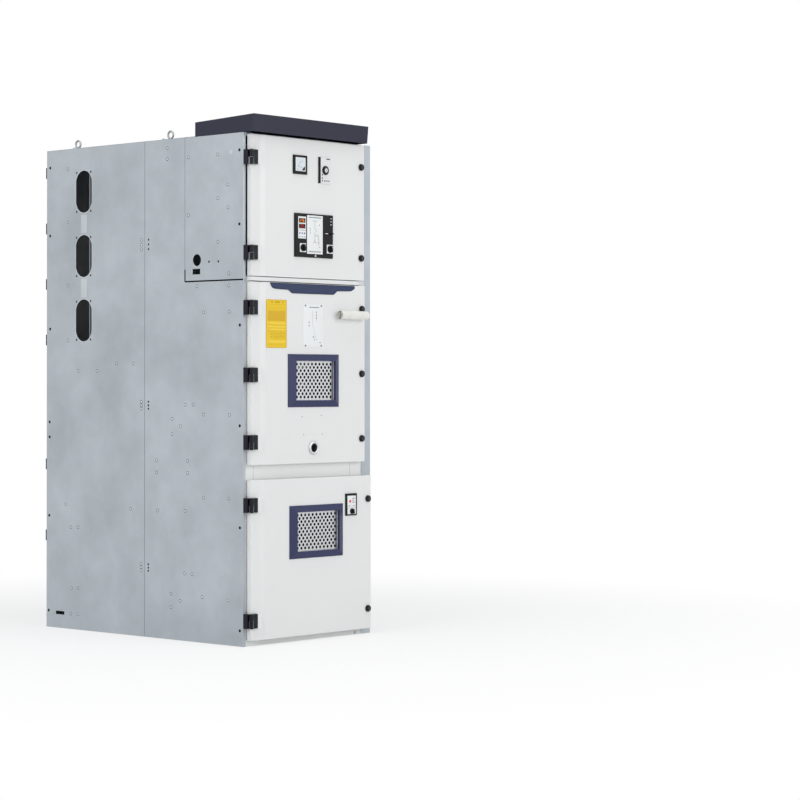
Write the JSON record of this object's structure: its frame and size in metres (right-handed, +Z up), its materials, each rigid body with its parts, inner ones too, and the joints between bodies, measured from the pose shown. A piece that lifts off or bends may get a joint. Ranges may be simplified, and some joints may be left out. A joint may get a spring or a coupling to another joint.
{
  "type": "metal-clad switchgear",
  "caption": "Tall sheet metal switchgear cubicle with hinged front and rear doors, vent grilles, busbar openings in its sides and a withdrawable circuit breaker behind shutters.",
  "frame": {"origin": "on the floor under the middle of the sheet metal body, on the flat strap of the base frame", "axes": "+Z up, the doors face -Y, +X to the right of someone who faces the doors"},
  "size_m": [0.8, 1.3883, 2.276],
  "materials": {
    "galvanised_sheet": "satin aluminium-zinc coated sheet, softly mottled",
    "white_paint": "fine textured off-white powder coat",
    "navy_paint": "satin dark navy powder coat",
    "bright_steel": "zinc plated",
    "black_plastic": "moulded, satin",
    "pale_plastic": "moulded, satin",
    "paper": "rolled sheet in a clear sleeve",
    "epoxy": "cast epoxy resin",
    "copper": "tinned copper bar"
  },
  "bodies": {
    "enclosure": {"side_sheet_left_front": "galvanised_sheet", "side_sheet_left_rear": "galvanised_sheet", "side_sheet_right_front": "galvanised_sheet", "side_sheet_right_rear": "galvanised_sheet", "relay_box": "galvanised_sheet", "roof_sheet": "galvanised_sheet", "base_frame": "galvanised_sheet", "rear_frame": "galvanised_sheet", "front_frame": "white_paint", "top_fascia": "navy_paint", "contact_partition": "galvanised_sheet", "busbar_partition": "galvanised_sheet", "breaker_floor": "galvanised_sheet", "upper_contact_box": "epoxy", "lower_contact_box": "epoxy", "branch_bar_a": "copper", "branch_bar_b": "copper", "branch_bar_c": "copper", "current_transformer_a": "epoxy", "current_transformer_b": "epoxy", "current_transformer_c": "epoxy", "eyebolt_left_front": "bright_steel", "eyebolt_left_rear": "bright_steel", "eyebolt_right_front": "bright_steel", "eyebolt_right_rear": "bright_steel"},
    "relay_door": {"relay_door": "white_paint", "panel_meter": "black_plastic", "climate_controller": "pale_plastic", "status_unit": "black_plastic"},
    "selector_left": {"selector_left": "black_plastic"},
    "selector_right": {"selector_right": "black_plastic"},
    "relay_lock_upper": {"relay_lock_upper": "black_plastic"},
    "relay_lock_lower": {"relay_lock_lower": "black_plastic"},
    "breaker_door": {"breaker_door": "white_paint", "breaker_vent_frame": "navy_paint", "breaker_grille": "bright_steel", "crank_ring": "bright_steel", "document_roll": "paper"},
    "breaker_lock_upper": {"breaker_lock_upper": "black_plastic"},
    "breaker_lock_middle": {"breaker_lock_middle": "black_plastic"},
    "breaker_lock_lower": {"breaker_lock_lower": "black_plastic"},
    "cable_door": {"cable_door": "white_paint", "cable_vent_frame": "navy_paint", "cable_grille": "bright_steel", "heater_switch": "black_plastic"},
    "heater_knob": {"heater_knob": "black_plastic"},
    "cable_lock_upper": {"cable_lock_upper": "black_plastic"},
    "cable_lock_lower": {"cable_lock_lower": "black_plastic"},
    "rear_upper_door": {"rear_upper_door": "galvanised_sheet"},
    "rear_lower_door": {"rear_lower_door": "galvanised_sheet"},
    "relief_flap_front": {"relief_flap_front": "galvanised_sheet"},
    "relief_flap_rear": {"relief_flap_rear": "galvanised_sheet"},
    "truck": {"truck_chassis": "galvanised_sheet", "breaker_housing": "navy_paint", "breaker_pole_a": "epoxy", "breaker_pole_b": "epoxy", "breaker_pole_c": "epoxy"},
    "shutter_upper": {"shutter_upper": "galvanised_sheet"},
    "shutter_lower": {"shutter_lower": "galvanised_sheet"}
  },
  "joints": [
    {"name": "relay_door_hinge", "type": "hinge", "parent": "enclosure", "child": "relay_door", "pos_m": [-0.384, -0.684, 1.8895], "axis": [0, 0, -1], "range_deg": [0, 110]},
    {"name": "selector_left_turn", "type": "hinge", "parent": "relay_door", "child": "selector_left", "pos_m": [-0.073, -0.6876, 1.718], "axis": [0, -1, 0], "range_deg": [0, 90]},
    {"name": "selector_right_turn", "type": "hinge", "parent": "relay_door", "child": "selector_right", "pos_m": [0.097, -0.6876, 1.718], "axis": [0, -1, 0], "range_deg": [0, 90]},
    {"name": "relay_lock_upper_turn", "type": "hinge", "parent": "relay_door", "child": "relay_lock_upper", "pos_m": [0.3055, -0.6803, 2.094], "axis": [0, -1, 0], "range_deg": [0, 90]},
    {"name": "relay_lock_lower_turn", "type": "hinge", "parent": "relay_door", "child": "relay_lock_lower", "pos_m": [0.3055, -0.6803, 1.686], "axis": [0, -1, 0], "range_deg": [0, 90]},
    {"name": "breaker_door_hinge", "type": "hinge", "parent": "enclosure", "child": "breaker_door", "pos_m": [-0.384, -0.684, 1.169], "axis": [0, 0, -1], "range_deg": [0, 110]},
    {"name": "breaker_lock_upper_turn", "type": "hinge", "parent": "breaker_door", "child": "breaker_lock_upper", "pos_m": [0.3095, -0.6803, 1.458], "axis": [0, -1, 0], "range_deg": [0, 90]},
    {"name": "breaker_lock_middle_turn", "type": "hinge", "parent": "breaker_door", "child": "breaker_lock_middle", "pos_m": [0.3095, -0.6803, 1.1685], "axis": [0, -1, 0], "range_deg": [0, 90]},
    {"name": "breaker_lock_lower_turn", "type": "hinge", "parent": "breaker_door", "child": "breaker_lock_lower", "pos_m": [0.3095, -0.6803, 0.879], "axis": [0, -1, 0], "range_deg": [0, 90]},
    {"name": "cable_door_hinge", "type": "hinge", "parent": "enclosure", "child": "cable_door", "pos_m": [-0.384, -0.684, 0.369], "axis": [0, 0, -1], "range_deg": [0, 110]},
    {"name": "heater_knob_turn", "type": "hinge", "parent": "cable_door", "child": "heater_knob", "pos_m": [0.239, -0.6876, 0.556], "axis": [0, -1, 0], "range_deg": [0, 90]},
    {"name": "cable_lock_upper_turn", "type": "hinge", "parent": "cable_door", "child": "cable_lock_upper", "pos_m": [0.3505, -0.6803, 0.608], "axis": [0, -1, 0], "range_deg": [0, 90]},
    {"name": "cable_lock_lower_turn", "type": "hinge", "parent": "cable_door", "child": "cable_lock_lower", "pos_m": [0.3505, -0.6803, 0.115], "axis": [0, -1, 0], "range_deg": [0, 90]},
    {"name": "rear_upper_door_hinge", "type": "hinge", "parent": "enclosure", "child": "rear_upper_door", "pos_m": [-0.39, 0.658, 1.706], "axis": [0, 0, 1], "range_deg": [0, 110]},
    {"name": "rear_lower_door_hinge", "type": "hinge", "parent": "enclosure", "child": "rear_lower_door", "pos_m": [-0.39, 0.658, 0.624], "axis": [0, 0, 1], "range_deg": [0, 110]},
    {"name": "relief_flap_front_hinge", "type": "hinge", "parent": "enclosure", "child": "relief_flap_front", "pos_m": [0, -0.05, 2.2143], "axis": [-1, 0, 0], "range_deg": [0, 80]},
    {"name": "relief_flap_rear_hinge", "type": "hinge", "parent": "enclosure", "child": "relief_flap_rear", "pos_m": [0, 0.56, 2.2143], "axis": [-1, 0, 0], "range_deg": [0, 80]},
    {"name": "truck_racking", "type": "slide", "parent": "enclosure", "child": "truck", "axis": [0, 1, 0], "range_m": [0, 0.2]},
    {"name": "shutter_upper_lift", "type": "slide", "parent": "enclosure", "child": "shutter_upper", "axis": [0, 0, 1], "range_m": [0, 0.18]},
    {"name": "shutter_lower_drop", "type": "slide", "parent": "enclosure", "child": "shutter_lower", "axis": [0, 0, -1], "range_m": [0, 0.18]}
  ],
  "couplings": [
    {"joint": "shutter_upper_lift", "follows": "truck_racking", "ratio": 0.9},
    {"joint": "shutter_lower_drop", "follows": "truck_racking", "ratio": 0.9}
  ]
}
